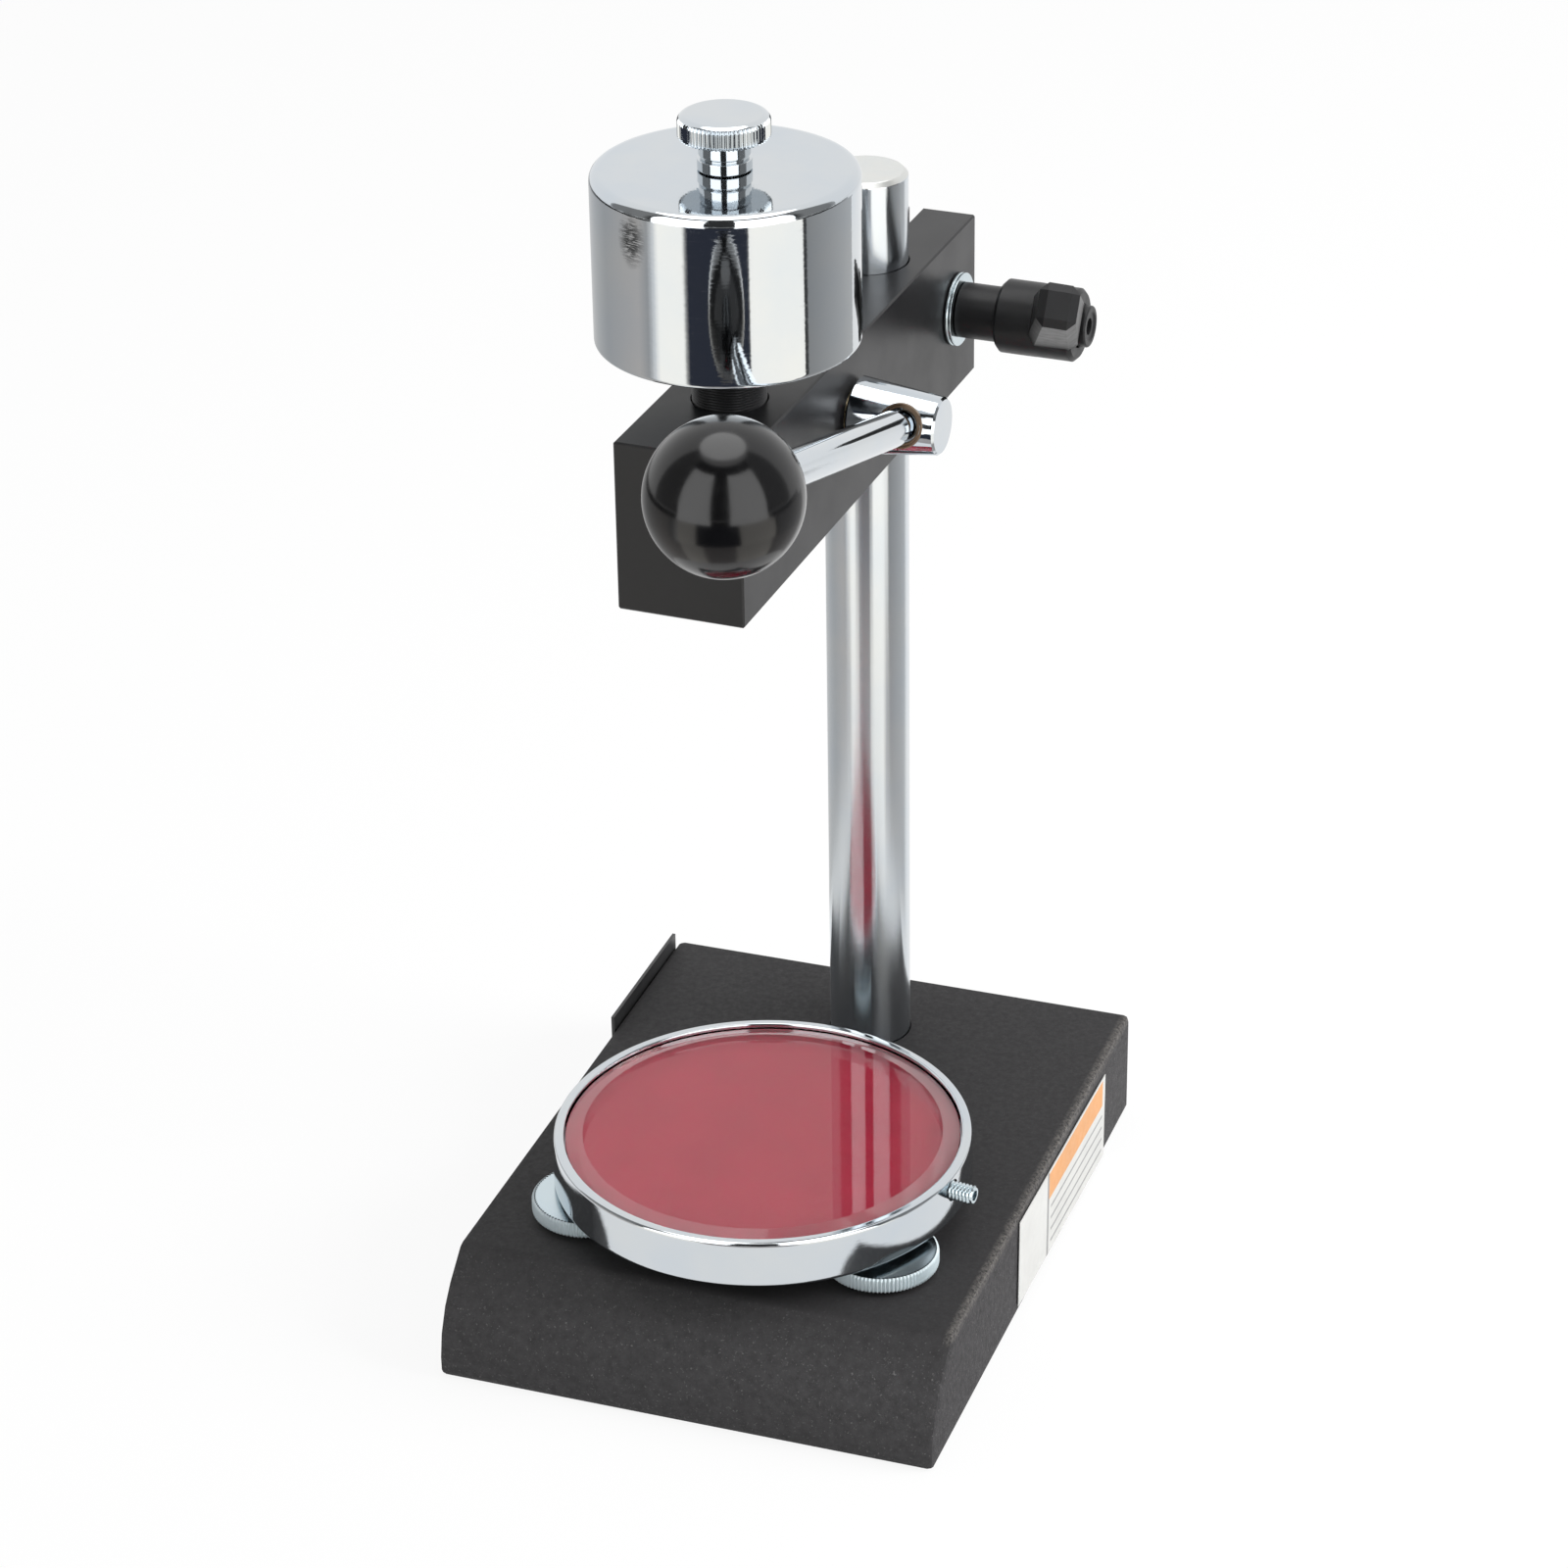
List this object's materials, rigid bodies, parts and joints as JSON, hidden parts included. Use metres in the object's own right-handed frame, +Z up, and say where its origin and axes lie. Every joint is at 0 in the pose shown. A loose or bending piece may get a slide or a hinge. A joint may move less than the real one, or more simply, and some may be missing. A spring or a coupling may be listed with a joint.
{
  "type": "durometer stand",
  "caption": "Bench stand for a hand durometer: heavy base, chromed column with a split clamp arm, ball lever lifting a chromed weight on a spindle, and a round glass levelling table",
  "frame": {"origin": "the middle of the base's footprint, on the bench", "axes": "+Z up along the column, -Y towards the front of the base, +X towards the lever's side"},
  "size_m": [0.1256, 0.2127, 0.3035],
  "materials": {
    "cast_black": "near-black cast surface with a fine grain",
    "satin_black": "satin black over milled metal",
    "chrome": "polished chrome",
    "zinc": "bright zinc plate",
    "steel": "machined steel",
    "brass": "machined brass",
    "black_steel": "blackened steel",
    "gloss_black": "glossy black moulding",
    "glass": "clear polished plate glass",
    "red": "even red",
    "label": "off-white film, blank",
    "dark_plate": "dark blank plate",
    "nylon": "natural nylon"
  },
  "bodies": {
    "base": {"base_casting": "cast_black", "side_plate": "dark_plate", "plate_rivet_front": "steel", "plate_rivet_rear": "steel", "side_label": "label", "column": "chrome", "column_bolt": "black_steel", "column_washer": "zinc", "hold_down_spring": "steel"},
    "table": {"table_ring": "chrome", "table_plate": "steel", "red_backing": "red", "glass_disc": "glass", "hold_down_screw": "zinc", "hold_down_washer": "zinc"},
    "levelling_left": {"levelling_screw_front_left": "zinc"},
    "levelling_right": {"levelling_screw_front_right": "zinc"},
    "levelling_rear": {"levelling_screw_rear": "zinc"},
    "set_pad": {"set_screw_pad": "nylon"},
    "set_screw": {"set_screw": "zinc"},
    "liner": {"column_liner": "nylon"},
    "arm": {"arm_body": "satin_black", "arm_cover": "satin_black", "cover_screw_rear_left": "black_steel", "cover_screw_rear_right": "black_steel", "cover_screw_front_left": "black_steel", "cover_screw_front_right": "black_steel", "guide_sleeve": "black_steel", "lower_bush": "brass", "shaft_bush_left": "brass", "shaft_bush_right": "brass", "clamp_washer": "zinc"},
    "spindle": {"spindle": "chrome", "cross_pin": "steel", "drop_weight": "chrome"},
    "knob": {"thumb_knob": "chrome"},
    "lever": {"lever_shaft": "steel", "shaft_clip": "black_steel", "lifting_fork": "steel", "fork_pin": "steel", "lever_hub": "chrome", "lever_rod": "chrome", "ball_knob": "gloss_black"},
    "clamp_stud": {"clamp_stud": "black_steel", "clamp_centre_screw": "black_steel", "clamp_spring": "steel"},
    "clamp_handle": {"clamp_handle": "black_steel"}
  },
  "joints": [
    {"name": "levelling_left_turn", "type": "hinge", "parent": "base", "child": "levelling_left", "pos_m": [-0.03689, -0.0456, 0.0312], "axis": [0, 0, -1], "range_deg": [-450, 1125]},
    {"name": "levelling_right_turn", "type": "hinge", "parent": "base", "child": "levelling_right", "pos_m": [0.03689, -0.0456, 0.0312], "axis": [0, 0, -1], "range_deg": [-450, 1125]},
    {"name": "levelling_rear_turn", "type": "hinge", "parent": "base", "child": "levelling_rear", "pos_m": [0, 0.0183, 0.0312], "axis": [0, 0, -1], "range_deg": [-450, 1125]},
    {"name": "table_lift", "type": "slide", "parent": "base", "child": "table", "axis": [0, 0, 1], "range_m": [-0.001, 0.0025], "deforming": ["hold_down_spring"]},
    {"name": "set_screw_slide", "type": "slide", "parent": "table", "child": "set_pad", "axis": [0.9921, -0.1253, 0], "range_m": [0, 0.0016]},
    {"name": "set_screw_turn", "type": "hinge", "parent": "set_pad", "child": "set_screw", "pos_m": [0.0517, -0.03083, 0.0425], "axis": [0.9921, -0.1253, 0], "range_deg": [0, 720]},
    {"name": "arm_lift", "type": "slide", "parent": "base", "child": "liner", "axis": [0, 0, 1], "range_m": [-0.13, 0.02]},
    {"name": "arm_swing", "type": "hinge", "parent": "liner", "child": "arm", "pos_m": [0, 0.057, 0.2176], "axis": [0, 0, 1], "continuous": true},
    {"name": "spindle_lift", "type": "slide", "parent": "arm", "child": "spindle", "axis": [0, 0, 1], "range_m": [0, 0.012]},
    {"name": "lever_turn", "type": "hinge", "parent": "arm", "child": "lever", "pos_m": [-0.00166, 0.00893, 0.2204], "axis": [-0.9994, 0.0346, 0], "range_deg": [0, 18.4]},
    {"name": "thumb_knob_turn", "type": "hinge", "parent": "spindle", "child": "knob", "pos_m": [-0.00295, -0.02835, 0.297], "axis": [0, 0, 1], "range_deg": [0, 1080]},
    {"name": "clamp_turn", "type": "hinge", "parent": "arm", "child": "clamp_stud", "pos_m": [0.00073, 0.07809, 0.21895], "axis": [0.9994, -0.0346, 0], "range_deg": [0, 120]},
    {"name": "clamp_handle_pull", "type": "slide", "parent": "clamp_stud", "child": "clamp_handle", "axis": [0.9994, -0.0346, 0], "range_m": [0, 0.0035], "stiffness_N_per_m": 800, "springref_m": -0.004, "deforming": ["clamp_spring"]}
  ],
  "couplings": [
    {"joint": "levelling_left_turn", "follows": "table_lift", "rad_per_m": 7853.9},
    {"joint": "levelling_right_turn", "follows": "table_lift", "rad_per_m": 7853.9},
    {"joint": "levelling_rear_turn", "follows": "table_lift", "rad_per_m": 7853.9},
    {"joint": "set_screw_turn", "follows": "set_screw_slide", "rad_per_m": 7853.9},
    {"joint": "lever_turn", "follows": "spindle_lift", "rad_per_m": 26.55}
  ]
}
